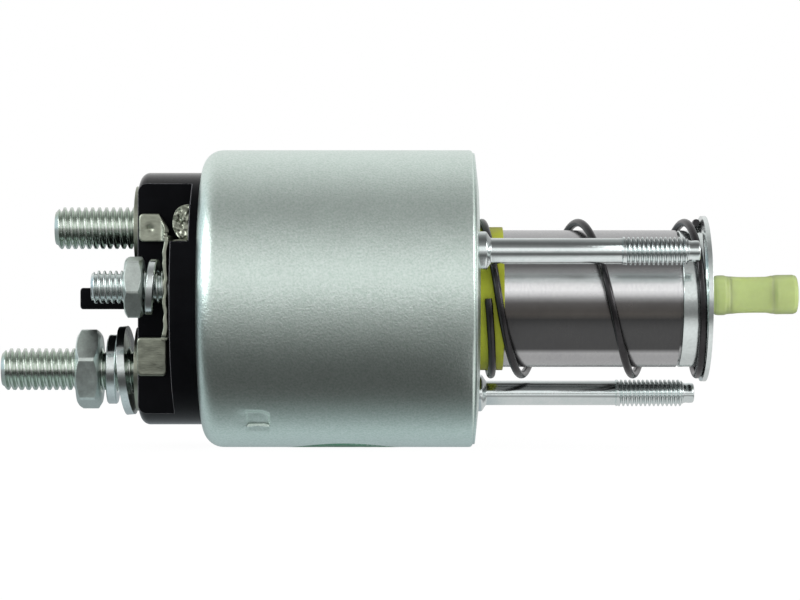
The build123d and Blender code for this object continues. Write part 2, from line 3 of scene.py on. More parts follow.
import bmesh
import bpy
import numpy as np
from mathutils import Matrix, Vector, noise


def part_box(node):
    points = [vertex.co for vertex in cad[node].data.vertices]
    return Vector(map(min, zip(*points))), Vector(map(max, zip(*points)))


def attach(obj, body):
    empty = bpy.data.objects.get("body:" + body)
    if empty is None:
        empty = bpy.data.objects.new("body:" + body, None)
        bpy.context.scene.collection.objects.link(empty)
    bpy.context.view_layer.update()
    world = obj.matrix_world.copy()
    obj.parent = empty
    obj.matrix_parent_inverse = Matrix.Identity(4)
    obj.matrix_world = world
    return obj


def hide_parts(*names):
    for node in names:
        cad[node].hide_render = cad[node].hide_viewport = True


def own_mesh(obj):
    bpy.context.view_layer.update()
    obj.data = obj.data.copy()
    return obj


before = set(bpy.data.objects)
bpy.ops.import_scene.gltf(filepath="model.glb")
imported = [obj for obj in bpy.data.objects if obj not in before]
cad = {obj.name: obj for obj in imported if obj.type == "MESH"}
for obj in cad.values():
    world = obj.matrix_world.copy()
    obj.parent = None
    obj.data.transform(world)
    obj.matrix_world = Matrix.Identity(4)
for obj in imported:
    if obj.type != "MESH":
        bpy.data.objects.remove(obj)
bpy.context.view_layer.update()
scene = bpy.context.scene
mm = 0.001
print("frame loaded:", len(cad), "nodes")


# small maths used by several pieces
def smoothStep(low, high, value):
    t = min(1.0, max(0.0, (value - low) / (high - low)))
    return t * t * (3 - 2 * t)


def softCorners(corners, steps=6):
    # corners: (x, r) or (x, r, round), an open line; each round becomes an arc
    def room(other, size):
        # the share of a stretch that a round may take beside the round at its other end
        rival = corners[other][2] if 0 < other < len(corners) - 1 and len(corners[other]) > 2 else 0
        return 0.98 * size / (size + rival)

    line = []
    for number, corner in enumerate(corners):
        here = Vector(corner[:2])
        size = corner[2] if len(corner) > 2 else 0
        if size == 0 or number in (0, len(corners) - 1):
            line.append((here.x, here.y))
            continue
        toBack = Vector(corners[number - 1][:2]) - here
        toNext = Vector(corners[number + 1][:2]) - here
        half = toBack.angle(toNext) / 2
        backRoom = toBack.length * room(number - 1, size)
        nextRoom = toNext.length * room(number + 1, size)
        reach = min(size / math.tan(half), backRoom, nextRoom)
        size = reach * math.tan(half)
        middle = here + (toBack.normalized() + toNext.normalized()).normalized() * size / math.sin(half)
        start = here + toBack.normalized() * reach - middle
        sweep = start.angle_signed(here + toNext.normalized() * reach - middle)
        for k in range(steps + 1):
            turn = -sweep * k / steps
            x = start.x * math.cos(turn) - start.y * math.sin(turn)
            r = start.x * math.sin(turn) + start.y * math.cos(turn)
            line.append((middle.x + x, middle.y + r))
    return line


def fineLine(line, step):
    # the same line with no stretch longer than step
    result = [line[0]]
    for (x0, r0), (x1, r1) in zip(line, line[1:]):
        count = max(1, math.ceil(math.hypot(x1 - x0, r1 - r0) / step))
        for k in range(1, count + 1):
            result.append((x0 + (x1 - x0) * k / count, r0 + (r1 - r0) * k / count))
    return result


def roundedBox(width, height, size):
    # outline of a rectangle with round corners, centred, as (u, v) points
    w, h = width / 2, height / 2
    corners = [(0, -h), (w, -h, size), (w, h, size), (-w, h, size), (-w, -h, size), (0, -h)]
    return fineLine(softCorners(corners, 5), 0.25)[:-1]


def onRing(x, r, turn, centre=(0, 0)):  # a point round an axis along X
    return (x, centre[0] + r * math.cos(turn), centre[1] + r * math.sin(turn))


def addObject(name, data):
    thing = bpy.data.objects.new(name, data)
    scene.collection.objects.link(thing)
    return thing


# mesh makers, all in millimetres
def makePiece(name, shape, finish, nodes, sharp, body="solenoid_body", merge=False):
    verts, faces = shape
    mesh = bpy.data.meshes.new(name)
    mesh.from_pydata([(x * mm, y * mm, z * mm) for x, y, z in verts], [], faces)
    work = bmesh.new()
    work.from_mesh(mesh)
    if merge:
        bmesh.ops.remove_doubles(work, verts=work.verts, dist=1e-7)
        bmesh.ops.dissolve_degenerate(work, edges=work.edges, dist=1e-8)
    bmesh.ops.recalc_face_normals(work, faces=work.faces)
    work.to_mesh(mesh)
    work.free()
    mesh.shade_smooth()
    mesh.set_sharp_from_angle(angle=math.radians(sharp))
    mesh.materials.append(finishes[finish])
    piece = addObject(name, mesh)
    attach(piece, body)
    if nodes:
        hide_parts(*nodes)
    return piece


def ringFaces(rows, count, closed=False):
    # quads between rings of count points; closed joins the last ring to the first
    faces = []
    for row in range(rows if closed else rows - 1):
        a, b = row * count, (row + 1) % rows * count
        for k in range(count):
            n = (k + 1) % count
            faces.append([a + k, a + n, b + n, b + k])
    return faces


def fanFaces(middle, base, count):
    return [[middle, base + k, base + (k + 1) % count] for k in range(count)]


def joined(*parts):
    verts, faces = [], []
    for partVerts, partFaces in parts:
        shift = len(verts)
        verts += list(partVerts)
        faces += [[v + shift for v in face] for face in partFaces]
    return verts, faces


def lathe(line, angles, centre=(0, 0), closed=False, push=None):
    # turns (x, r) points about an axis along X; angle 0 is the near side, going up
    if isinstance(angles, int):
        angles = [2 * math.pi * k / angles for k in range(angles)]
    verts, rings, faces = [], [], []
    for x, r in line:
        if r < 1e-6:
            rings.append([len(verts)] * len(angles))
            verts.append((x, centre[0], centre[1]))
            continue
        rings.append(range(len(verts), len(verts) + len(angles)))
        for angle in angles:
            out = r + (push(x, r, angle) if push else 0)
            verts.append((x, centre[0] - out * math.cos(angle), centre[1] + out * math.sin(angle)))
    pairs = list(zip(rings, rings[1:]))
    if closed:
        pairs.append((rings[-1], rings[0]))
    for one, two in pairs:
        for k in range(len(angles)):
            n = (k + 1) % len(angles)
            face = [one[k], two[k], two[n], one[n]]
            face = [v for i, v in enumerate(face) if v != face[i - 1]]
            if len(face) > 2:
                faces.append(face)
    return verts, faces


def cutThread(size, centre):
    # a right-handed thread from size["root"] to size["tip"], with a chamfered tip
    root, tip, radius, pitch = size["root"], size["tip"], size["radius"], size["pitch"]
    rows, columns = size["rows"], size["columns"]
    low, high = min(root, tip), max(root, tip)
    depth = 0.58 * pitch
    count = math.ceil((high - low) / pitch * rows)
    phases, cuts = (0, 0.12, 0.42, 0.58, 0.88, 1), (0, 0, 1, 1, 0, 0)  # crest, flank, root, flank, crest

    def radiusAt(x, share):
        phase = ((x - low) / pitch - share) % 1.0
        cut = smoothStep(0, 1, float(np.interp(phase, phases, cuts)))
        cone = radius - size["chamfer"] + abs(x - tip)
        runOut = 1 - smoothStep(0, size.get("runOut", 0.3), abs(x - root))
        thread = radius - depth * cut * (1 - runOut)
        return max(min(thread, cone), radius - depth - 0.25)

    verts = []
    for i in range(-rows, count + 1):
        for j in range(columns):
            x = min(high, max(low, low + pitch * (i / rows + j / columns)))
            share = j / columns
            verts.append(onRing(x, radiusAt(x, share), 2 * math.pi * share, centre))
    total = count + rows + 1

    def vertexAt(i, j):
        if j == columns:  # the seam steps on by one pitch
            i, j = i + rows, 0
        return min(i, total - 1) * columns + j

    faces = []
    for i in range(total - 1):
        for j in range(columns):
            faces.append([vertexAt(i, j), vertexAt(i, j + 1), vertexAt(i + 1, j + 1), vertexAt(i + 1, j)])
    for x, row in ((low, 0), (high, total - 1)):
        faces += fanFaces(len(verts), row * columns, columns)
        verts.append((x, centre[0], centre[1]))
    return verts, faces


def hexNut(size, centre):
    # chamfered on both faces, with a lead into the bore
    apothem, bore, thick, back = size["flats"] / 2, size["bore"], size["thick"], size["back"]
    rim, lead, steps = apothem * 0.945, 0.45, 144
    verts = []
    for k in range(steps):
        degrees = k * 360 / steps
        inFlat = math.radians((degrees + 30) % 60 - 30)
        edge = min(apothem / math.cos(inFlat), apothem * 1.13)
        slope = (edge - rim) * math.tan(math.radians(33))
        turn = math.radians(degrees + size["turn"])
        section = [
            (0, bore + lead), (0, rim), (slope, edge), (thick / 2, edge), (thick - slope, edge),
            (thick, rim), (thick, bore + lead), (thick - lead, bore), (lead, bore),
        ]
        verts += [onRing(back + x, r, turn, centre) for x, r in section]
    return verts, ringFaces(steps, 9, True)


def sweepWire(points, radius, sides):
    # a round wire along points, drawn in a little at its two ends
    points = [Vector(p) for p in points]
    verts = []
    for number, point in enumerate(points):
        ahead = points[min(number + 1, len(points) - 1)] - points[max(number - 1, 0)]
        ahead.normalize()
        outward = Vector((0, point.y, point.z)).normalized()
        outward = (outward - ahead * outward.dot(ahead)).normalized()
        side = ahead.cross(outward)
        shrink = 0.9 if number in (0, len(points) - 1) else 1
        for k in range(sides):
            turn = 2 * math.pi * k / sides
            verts.append(point + (outward * math.cos(turn) + side * math.sin(turn)) * radius * shrink)
    faces = ringFaces(len(points), sides)
    for base, end in ((0, points[0]), ((len(points) - 1) * sides, points[-1])):
        faces += fanFaces(len(verts), base, sides)
        verts.append(end)
    return [tuple(v) for v in verts], faces


def pressedPlate(outline, thick, place, rounding, rings=8):
    # a flat stamping from a 2D outline; place(u, v, h) puts it in the frame
    count = len(outline)
    middleU = sum(p[0] for p in outline) / count
    middleV = sum(p[1] for p in outline) / count
    third = rounding * 0.3
    edge = [(rounding, 0), (third, third), (0, rounding)]
    edge += [(0, thick - rounding), (third, thick - third), (rounding, thick)]
    rows = [(1 - k / rings, None, 0) for k in range(rings - 1, 0, -1)]
    rows += [(1, inset, h) for inset, h in edge]
    rows += [(1 - k / rings, None, thick) for k in range(1, rings)]
    verts = []
    for scale, inset, h in rows:
        for u, v in outline:
            du, dv = u - middleU, v - middleV
            length = math.hypot(du, dv)
            size = scale * (length - rounding) if inset is None else length - inset
            verts.append(place(middleU + du / length * size, middleV + dv / length * size, h))
    faces = ringFaces(len(rows), count)
    for row, h in ((0, 0), (len(rows) - 1, thick)):
        faces += fanFaces(len(verts), row * count, count)
        verts.append(place(middleU, middleV, h))
    return verts, faces


# shader helpers; feed takes a constant or another node's output
def feed(tree, socket, value):
    if isinstance(value, bpy.types.NodeSocket):
        tree.links.new(value, socket)
    else:
        socket.default_value = value


def splitXyz(tree, vector):
    split = tree.nodes.new("ShaderNodeSeparateXYZ")
    tree.links.new(vector, split.inputs[0])
    return split.outputs


def calculate(tree, operation, first, second):
    node = tree.nodes.new("ShaderNodeMath")
    node.operation = operation
    feed(tree, node.inputs[0], first)
    feed(tree, node.inputs[1], second)
    return node.outputs[0]


def mapRange(tree, source, fromLow, fromHigh, toLow=0.0, toHigh=1.0, smooth=False):
    node = tree.nodes.new("ShaderNodeMapRange")
    if smooth:
        node.interpolation_type = "SMOOTHSTEP"
    limits = {"From Min": fromLow, "From Max": fromHigh, "To Min": toLow, "To Max": toHigh}
    for socket, value in limits.items():
        node.inputs[socket].default_value = value
    tree.links.new(source, node.inputs["Value"])
    return node.outputs["Result"]


def rampColor(tree, source, stops):
    # stops: (place from 0 to 1, grey or colour)
    ramp = tree.nodes.new("ShaderNodeValToRGB")
    elements = ramp.color_ramp.elements
    while len(elements) < len(stops):
        elements.new(0.5)
    for element, (position, value) in zip(elements, stops):
        element.position = position
    for element, (position, value) in zip(elements, stops):
        element.position = position
        element.color = (value, value, value, 1) if isinstance(value, (int, float)) else (*value, 1)
    tree.links.new(source, ramp.inputs["Fac"])
    return ramp.outputs["Color"]


def blendColors(tree, fac, first, second, kind="MIX"):
    mix = tree.nodes.new("ShaderNodeMix")
    mix.data_type = "RGBA"
    mix.blend_type = kind
    for socket, value in ((0, fac), (6, first), (7, second)):
        feed(tree, mix.inputs[socket], value)
    return mix.outputs[2]


def mixShaders(tree, fac, first, second):
    mix = tree.nodes.new("ShaderNodeMixShader")
    for socket, value in enumerate((fac, first, second)):
        feed(tree, mix.inputs[socket], value)
    return mix.outputs[0]


def colorShader(tree, kind, color):
    shader = tree.nodes.new(kind)
    feed(tree, shader.inputs["Color"], color)
    return shader


def layerWeight(tree, blend):
    facing = tree.nodes.new("ShaderNodeLayerWeight")
    facing.inputs["Blend"].default_value = blend
    return facing.outputs["Facing"]


def softNormal(tree, size, samples):
    # the normal as if edges were rounded, size in millimetres
    bevel = tree.nodes.new("ShaderNodeBevel")
    bevel.samples = samples
    bevel.inputs["Radius"].default_value = size * mm
    return bevel.outputs["Normal"]


def grainNoise(tree, scale, detail, stretch=(1, 1, 1)):
    coordinates = tree.nodes.new("ShaderNodeTexCoord")
    mapping = tree.nodes.new("ShaderNodeMapping")
    mapping.inputs["Scale"].default_value = stretch
    texture = tree.nodes.new("ShaderNodeTexNoise")
    texture.inputs["Scale"].default_value = scale
    texture.inputs["Detail"].default_value = detail
    texture.inputs["Roughness"].default_value = 0.6
    tree.links.new(coordinates.outputs["Object"], mapping.inputs["Vector"])
    tree.links.new(mapping.outputs["Vector"], texture.inputs["Vector"])
    return texture.outputs["Fac"]


def twoTones(tree, fac, color, spread):
    # a darker and a lighter tone of color, by a noise
    dark = [c * (1 - spread) for c in color]
    light = [min(1, c * (1 + spread)) for c in color]
    return rampColor(tree, fac, [(0.3, dark), (0.7, light)])


def paintFacingShade(tree, color, paintedBands):
    # painted reflections and shade: bands of shade laid over color by how far the surface faces up (1) or
    # down (-1)
    geometry = tree.nodes.new("ShaderNodeNewGeometry")
    facing = mapRange(tree, splitXyz(tree, geometry.outputs["Normal"])["Z"], -1, 1)
    shades = rampColor(tree, facing, [((up + 1) / 2, value) for up, value in paintedBands])
    return blendColors(tree, 1.0, color, shades, "MULTIPLY")


def addBump(tree, shader, fac, distance, edge):
    # bump from fac, over softly rounded edges where edge is given, in millimetres
    bump = tree.nodes.new("ShaderNodeBump")
    bump.inputs["Strength"].default_value = 1.0
    bump.inputs["Distance"].default_value = distance * mm
    tree.links.new(fac, bump.inputs["Height"])
    if edge:
        tree.links.new(softNormal(tree, edge, 6), bump.inputs["Normal"])
    tree.links.new(bump.outputs["Normal"], shader.inputs["Normal"])


def startMaterial(name, s, metallic):
    material = bpy.data.materials.new(name)
    material.use_nodes = True
    tree = material.node_tree
    shader = tree.nodes["Principled BSDF"]
    shader.inputs["Base Color"].default_value = (*s["color"], 1)
    shader.inputs["Metallic"].default_value = metallic
    shader.inputs["Roughness"].default_value = s["roughness"]
    return material, tree, shader


# plated and ground metals: grain and blotch are noise scales, bump and edge are in millimetres,
# cloud is the share of the slow noise, paintedBands are painted reflections and shade, as (facing up or
# down, shade)
metals = {
    "canZinc": {
        "color": (0.745, 0.90, 0.815), "roughness": 0.34, "spread": 0.3, "grain": 2600, "blotch": 160,
        "bump": 0.05, "cloud": 0.15,
    },
    "plateZinc": {
        "color": (0.75, 0.88, 0.81), "roughness": 0.32, "spread": 0.25, "grain": 2600, "blotch": 200,
        "bump": 0.04, "edge": 0.15, "cloud": 0.2,
    },
    "studZinc": {
        "color": (0.78, 0.84, 0.825), "roughness": 0.17, "spread": 0.1, "grain": 1800, "blotch": 320,
        "bump": 0.01, "edge": 0.12,
    },
    # painted reflections and shade: a lighter zinc with dark and light bands by how far the shank faces up
    # or down
    "shankZinc": {
        "color": (0.88, 0.98, 0.965), "roughness": 0.17, "spread": 0.08, "grain": 1800, "blotch": 320,
        "bump": 0.01, "edge": 0.12,
        "paintedBands": [
            (-1.0, 0.95), (-0.36, 0.95), (-0.27, 0.45), (-0.2, 0.45), (-0.1, 1.0), (0.16, 1.0),
            (0.28, 0.36), (0.78, 0.42), (0.95, 0.85), (1.0, 0.9),
        ],
    },
    # painted reflections and shade: bands of shade by how far the thread faces up or down
    "threadZinc": {
        "color": (0.80, 0.86, 0.80), "roughness": 0.2, "spread": 0.12, "grain": 1800, "blotch": 320,
        "bump": 0.012, "edge": 0.12,
        "paintedBands": [
            (-1.0, 1.0), (-0.85, 0.95), (-0.45, (0.7, 0.78, 0.71)), (-0.2, 0.7), (0.0, 0.95), (0.25, 1.0),
            (0.5, (0.6, 0.66, 0.6)), (0.85, 0.75), (1.0, 0.95),
        ],
    },
    "nutZinc": {
        "color": (0.66, 0.73, 0.69), "roughness": 0.38, "spread": 0.16, "grain": 2400, "blotch": 420,
        "bump": 0.03, "edge": 0.12,
    },
    "tinned": {
        "color": (0.37, 0.395, 0.32), "roughness": 0.33, "spread": 0.2, "grain": 1300, "blotch": 420,
        "bump": 0.03, "edge": 0.15, "stretch": (1, 1, 2.5),
    },
    # painted reflections and shade: light, brown and dark bands by how far the plunger faces up or down
    "groundSteel": {
        "color": (0.97, 0.97, 0.985), "roughness": 0.25, "spread": 0.13, "grain": 900, "blotch": 140,
        "bump": 0.01, "edge": 0.12, "stretch": (3, 1, 1),
        "paintedBands": [
            (-1.0, 0.58), (-0.79, 0.58), (-0.73, 0.1), (-0.3, 0.085), (-0.22, (0.27, 0.25, 0.23)),
            (-0.07, (0.24, 0.23, 0.225)), (0.0, 0.42), (0.06, 0.75), (0.12, 1.0), (0.28, 1.0), (0.36, 0.62),
            (0.46, 0.3), (0.8, 0.5), (1.0, 0.52),
        ],
    },
    "coreSteel": {
        "color": (0.46, 0.46, 0.47), "roughness": 0.4, "spread": 0.1, "grain": 900, "blotch": 200,
        "bump": 0.01, "edge": 0.15,
    },
    "springWire": {
        "color": (0.052, 0.050, 0.052), "roughness": 0.26, "spread": 0.2, "grain": 1500, "blotch": 300,
        "bump": 0.01,
    },
    "innerSpringWire": {
        "color": (0.42, 0.42, 0.43), "roughness": 0.3, "spread": 0.1, "grain": 1500, "blotch": 300,
        "bump": 0.01,
    },
    "enamelledWire": {
        "color": (0.55, 0.20, 0.08), "roughness": 0.3, "spread": 0.1, "grain": 900, "blotch": 300,
        "bump": 0.02, "stretch": (40, 1, 1),
    },
    "contactCopper": {
        "color": (0.80, 0.42, 0.28), "roughness": 0.33, "spread": 0.1, "grain": 1500, "blotch": 300,
        "bump": 0.01, "edge": 0.15,
    },
    "bushBrass": {
        "color": (0.76, 0.60, 0.28), "roughness": 0.33, "spread": 0.1, "grain": 1500, "blotch": 300,
        "bump": 0.01, "edge": 0.1,
    },
}

# plastics and rubber: rim is a painted shade, the colour where the surface turns away, graze a sheen there,
# paintedEdgeHighlight a painted highlight, a fine light line along sharp edges, depth how far each colour
# goes in, in millimetres
plastics = {
    "blackMoulding": {
        "color": (0.005, 0.0052, 0.0062), "roughness": 0.3, "spread": 0.2, "grain": 2500, "bump": 0.006,
        # the light line along the sharp edges is a painted highlight
        "edge": 0.35, "shine": 0.02, "graze": 1.0, "paintedEdgeHighlight": 0.42, "paintedEdgeColor": (0.33, 0.33, 0.35),
    },
    "yellowPlastic": {
        "color": (0.60, 0.65, 0.055), "roughness": 0.5, "spread": 0.14, "grain": 700, "bump": 0.05,
        # rim: painted shade towards the sides that turn away
        "edge": 0.15, "subsurface": 0.15, "depth": (1, 0.9, 0.3), "shine": 0.25, "rim": (0.55, 0.5, 0.4),
    },
    "palePlastic": {
        "color": (0.56, 0.66, 0.28), "roughness": 0.36, "spread": 0.08, "grain": 600, "bump": 0.03,
        # rim: painted shade towards the sides that turn away
        "subsurface": 0.5, "depth": (2, 2.2, 1.0), "shine": 0.25, "rim": (0.5, 0.52, 0.5),
    },
    "insulatorPlastic": {
        "color": (0.35, 0.17, 0.08), "roughness": 0.5, "spread": 0.1, "grain": 1200, "bump": 0.02,
        "edge": 0.1,
    },
    "sealRubber": {
        "color": (0.02, 0.02, 0.02), "roughness": 0.7, "spread": 0.2, "grain": 1500, "bump": 0.02,
        "edge": 0.1,
    },
    "greenSticker": {
        "color": (0.015, 0.42, 0.17), "roughness": 0.4, "spread": 0.08, "grain": 900, "bump": 0.01,
    },
}


def metalFinish(name, s):
    material, tree, shader = startMaterial(name, s, 1.0)
    cloud = s.get("cloud", 1.0)
    fine = grainNoise(tree, s["grain"], 3, s.get("stretch", (1, 1, 1)))
    slow = grainNoise(tree, s["blotch"], 3)
    specks = twoTones(tree, fine, s["color"], s["spread"])
    color = blendColors(tree, 0.5, specks, twoTones(tree, slow, s["color"], s["spread"] * cloud))
    # painted reflections and shade: the colour is darkened in bands by how far the surface faces up or down
    if "paintedBands" in s:
        color = paintFacingShade(tree, color, s["paintedBands"])
    low, high = s["roughness"] * (1 - 0.14 * cloud), s["roughness"] * (1 + 0.14 * cloud)
    tree.links.new(color, shader.inputs["Base Color"])
    tree.links.new(mapRange(tree, slow, 0.3, 0.7, low, high), shader.inputs["Roughness"])
    addBump(tree, shader, fine, s["bump"], s.get("edge"))
    return material


def plasticFinish(name, s):
    material, tree, shader = startMaterial(name, s, 0.0)
    shader.inputs["Specular IOR Level"].default_value = s.get("shine", 0.5)
    fine = grainNoise(tree, s["grain"], 4)
    color = twoTones(tree, grainNoise(tree, 180, 3), s["color"], s["spread"])
    # painted shade: the colour darkens where the surface turns away from the view
    if "rim" in s:
        rim = rampColor(tree, layerWeight(tree, 0.35), [(0.25, 1.0), (0.8, s["rim"])])
        color = blendColors(tree, 1.0, color, rim, "MULTIPLY")
    # painted highlight: a fine line of lighter colour along sharp edges, where a rounded edge would catch
    # the light
    if "paintedEdgeHighlight" in s:
        turned = tree.nodes.new("ShaderNodeVectorMath")
        turned.operation = "DOT_PRODUCT"
        tree.links.new(softNormal(tree, s["paintedEdgeHighlight"], 8), turned.inputs[0])
        tree.links.new(tree.nodes.new("ShaderNodeNewGeometry").outputs["Normal"], turned.inputs[1])
        edgeHighlightMask = mapRange(tree, turned.outputs["Value"], 0.85, 0.76)
        color = blendColors(tree, edgeHighlightMask, color, (*s["paintedEdgeColor"], 1))
    tree.links.new(color, shader.inputs["Base Color"])
    low, high = s["roughness"] * 0.85, s["roughness"] * 1.2
    tree.links.new(mapRange(tree, fine, 0.3, 0.7, low, high), shader.inputs["Roughness"])
    if "subsurface" in s:
        shader.inputs["Subsurface Weight"].default_value = s["subsurface"]
        shader.inputs["Subsurface Radius"].default_value = s["depth"]
        shader.inputs["Subsurface Scale"].default_value = mm
    addBump(tree, shader, fine, s["bump"], s.get("edge"))
    if "graze" in s:
        steep = calculate(tree, "POWER", layerWeight(tree, 0.5), 7.0)
        gloss = tree.nodes.new("ShaderNodeBsdfGlossy")
        gloss.inputs["Roughness"].default_value = s["roughness"] * 0.8
        amount = calculate(tree, "MULTIPLY", steep, s["graze"])
        both = mixShaders(tree, amount, shader.outputs[0], gloss.outputs[0])
        tree.links.new(both, tree.nodes["Material Output"].inputs["Surface"])
    return material


finishes = {name: metalFinish(name, values) for name, values in metals.items()}
finishes.update({name: plasticFinish(name, values) for name, values in plastics.items()})
print("materials made:", len(finishes))


# steel can
can = {
    "front": -0.95, "rear": -49.2, "lip": -47.0, "radius": 26.72, "bore": 24.55, "opening": 22.8,
    "frontRound": 0.6, "rearRound": 3.8, "edgeRound": 0.25, "lipRound": 0.15, "innerRound": 0.8,
}

# its stake mark: a square floor with soft top and rear sides, a sharp lower lip and a bruise below
dent = {
    "x": -38.8, "angle": 52.8, "half": 1.75, "tall": 1.85, "depth": 0.62, "tilt": 0.12, "corner": 1.5,
    "soft": 1.0, "rearSoft": 0.9, "rim": 0.35, "ramp": 3.2, "lip": 0.05, "bruise": 0.34, "reach": 8,
}


def dentPush(x, r, angle):
    # how far the can's skin moves out; u runs along the can, s down round it, both from the mark's middle
    d = dent
    u = x - d["x"]
    s = can["radius"] * (-(angle - 2 * math.pi) if angle > math.pi else -angle)
    s -= can["radius"] * math.radians(d["angle"])
    if abs(u) > d["reach"] or abs(s) > d["reach"] or r < can["radius"] - 0.01:
        return 0.0
    half, tall, corner = d["half"], d["tall"], d["corner"]
    over = math.hypot(max(u - half + corner, 0), max(-s - tall + corner, 0)) - corner
    soft = d["soft"] + d["rearSoft"] * smoothStep(half * 0.6, half + 2.2, -u)
    top = 1 - smoothStep(d["rim"] - soft, d["rim"] + soft, over if s < 0 else u - half)
    front = 1 - smoothStep(-0.1, 0.5, u - half)
    slope = smoothStep(-half - d["ramp"], -half + 0.3, u)
    rear = 0.55 * slope + 0.45 * smoothStep(-half - 0.35, -half + 0.15, u)
    bottom = 1 - smoothStep(tall - 0.08, tall + 0.07, s - 0.12 * math.cos(u / half))
    softBottom = 1 - smoothStep(tall - 1.6, tall + 1.0, s)
    square = smoothStep(-half - 0.9, -half + 0.5, u)
    across = square * (1 - smoothStep(half, half + 0.6, u))
    lip = d["lip"] * math.exp(-(((s - tall - 0.16) / 0.09) ** 2)) * across
    below = smoothStep(tall + 0.1, tall + 0.5, s) * (1 - smoothStep(tall + 0.6, tall + 2.2, s))
    tilt = 1 - d["tilt"] * min(1, max(-1, s / tall))
    hollow = d["depth"] * tilt * min(top, front) * rear * (bottom * square + softBottom * (1 - square))
    return min(0.0, lip - hollow - d["bruise"] * below * across)


def makeCan():
    c = can
    outer = softCorners([
        (c["front"], c["bore"]),
        (c["front"], c["radius"], c["frontRound"]),
        (c["rear"], c["radius"], c["rearRound"]),
        (c["rear"], c["opening"], c["edgeRound"]),
        (c["lip"], c["opening"], c["lipRound"]),
        (c["lip"], c["bore"], c["innerRound"]),
        (c["front"], c["bore"]),
    ], 10)[:-1]
    line = []
    for a, b in zip(outer, outer[1:]):
        if max(a[1], b[1]) > c["radius"] - 0.01 and abs(a[0] - b[0]) > 10:  # the skin, finer round the mark
            start, end = dent["x"] + 4, dent["x"] - 5.5
            line += fineLine([a, (start, a[1])], 2.0)
            line += fineLine([(start, a[1]), (end, a[1])], 0.12)[1:]
            line += fineLine([(end, a[1]), b], 1.0)[1:-1]
        else:
            line.append(a)
    line.append(outer[-1])
    middle = 360 - dent["angle"]
    degrees = [k * 2.0 for k in range(180) if abs(k * 2.0 - middle) > 11]
    degrees += [middle - 11 + k * 0.25 for k in range(89)]
    angles = [math.radians(a) for a in sorted(degrees)]
    shell = lathe(line, angles, closed=True, push=dentPush)
    makePiece("canShell", shell, "canZinc", ["housing"], 40)


makeCan()

# blank green sticker under the can
sticker = {
    "x": -24.0, "angle": -100.0, "radius": 11.8, "proud": 0.022, "edgeDrop": 0.02, "rings": 8, "spokes": 72,
}


def makeSticker():
    s = sticker
    verts = []
    for ring in range(s["rings"] + 1):
        size = s["radius"] * ring / s["rings"]
        for k in range(s["spokes"]):
            turn = 2 * math.pi * k / s["spokes"]
            angle = math.radians(s["angle"]) + size * math.sin(turn) / can["radius"]
            out = can["radius"] + s["proud"] - (s["edgeDrop"] if ring == s["rings"] else 0)
            verts.append((s["x"] + size * math.cos(turn), -out * math.cos(angle), out * math.sin(angle)))
    shape = verts, ringFaces(s["rings"] + 1, s["spokes"])
    makePiece("blankSticker", shape, "greenSticker", (), 60, merge=True)


makeSticker()
print("can and sticker made")


def makeStud(name, node, finish, centre, sides, *parts):
    # parts about the stud's own axis: lathed lines, and a dictionary for a thread
    shapes = []
    for part in parts:
        shapes.append(cutThread(part, centre) if isinstance(part, dict) else lathe(part, sides, centre))
    makePiece(name, joined(*shapes), finish, [node], 45, merge=True)


# front studs; each has its node, its angle and its thread's (start, end, tip of the point)
frontStud = {
    "circle": 20.0, "back": -4.3, "headRadius": 3.25, "headEnd": -2.8, "shank": 2.25, "seat": -0.3,
    "collar": 3.4, "collarEnd": 1.8, "major": 2.45, "pitch": 0.8, "point": 1.9,
    "studs": {
        "frontStudUpper": ("mounting_stud_upper", 65.6, (24.85, 36.2, 38.2)),
        "frontStudLower": ("mounting_stud_lower", 210.0, (25.8, 38.0, 40.0)),
    },
}


def makeFrontStud(name, node, angle, thread):
    s = frontStud
    threadStart, threadEnd, tip = thread
    turn = math.radians(angle)
    centre = (-s["circle"] * math.sin(turn), s["circle"] * math.cos(turn))
    shank = softCorners([
        (s["back"], 0), (s["back"], s["headRadius"]), (s["headEnd"], s["shank"]), (s["seat"], s["shank"]),
        (s["seat"], s["collar"]), (s["collarEnd"] - 0.75, s["collar"], 0.5),
        (s["collarEnd"], s["shank"], 0.3), (threadStart - 0.2, s["shank"]),
        (threadStart, s["shank"] - 0.2), (threadStart, 0),
    ])
    point = softCorners([
        (threadEnd - 0.3, 0), (threadEnd - 0.3, s["point"] + 0.05, 0.1),
        (threadEnd + 0.5, s["point"] - 0.12, 0.2), (tip - 0.9, s["point"] - 0.05),
        (tip, s["point"] - 0.1, 0.45), (tip, 0),
    ])
    thread = {
        "root": threadStart - 0.1, "tip": threadEnd, "radius": s["major"], "pitch": s["pitch"],
        "chamfer": 0.5, "columns": 64, "rows": 12, "runOut": 0.8,
    }
    makeStud(name, node, "shankZinc", centre, 72, shank, thread, point)


for studName, studValues in frontStud["studs"].items():
    makeFrontStud(studName, *studValues)

# contact studs; each has its node, its side and its tip
contactStud = {
    "z": 12.7, "radius": 3.78, "pitch": 1.25, "chamfer": 0.9, "thread": -61.1, "shank": 4.35,
    "head": -47.05, "headRadius": 6.3, "headThick": 3.0,
    "studs": {
        "upperContactStud": ("upper_contact_stud", 1, -75.9),
        "lowerContactStud": ("lower_contact_stud", -1, -85.55),
    },
}


def makeContactStud(name, node, side, tip):
    s = contactStud
    inside = softCorners([
        (s["head"], 0), (s["head"], s["headRadius"], 0.3),
        (s["head"] - s["headThick"], s["headRadius"], 0.3), (s["head"] - s["headThick"], s["shank"]),
        (s["thread"], s["shank"]), (s["thread"], 0),
    ])
    thread = {
        "root": s["thread"] + 0.2, "tip": tip, "radius": s["radius"], "pitch": s["pitch"],
        "chamfer": s["chamfer"], "columns": 84, "rows": 14,
    }
    makeStud(name, node, "threadZinc", (0, side * s["z"]), 72, inside, thread)


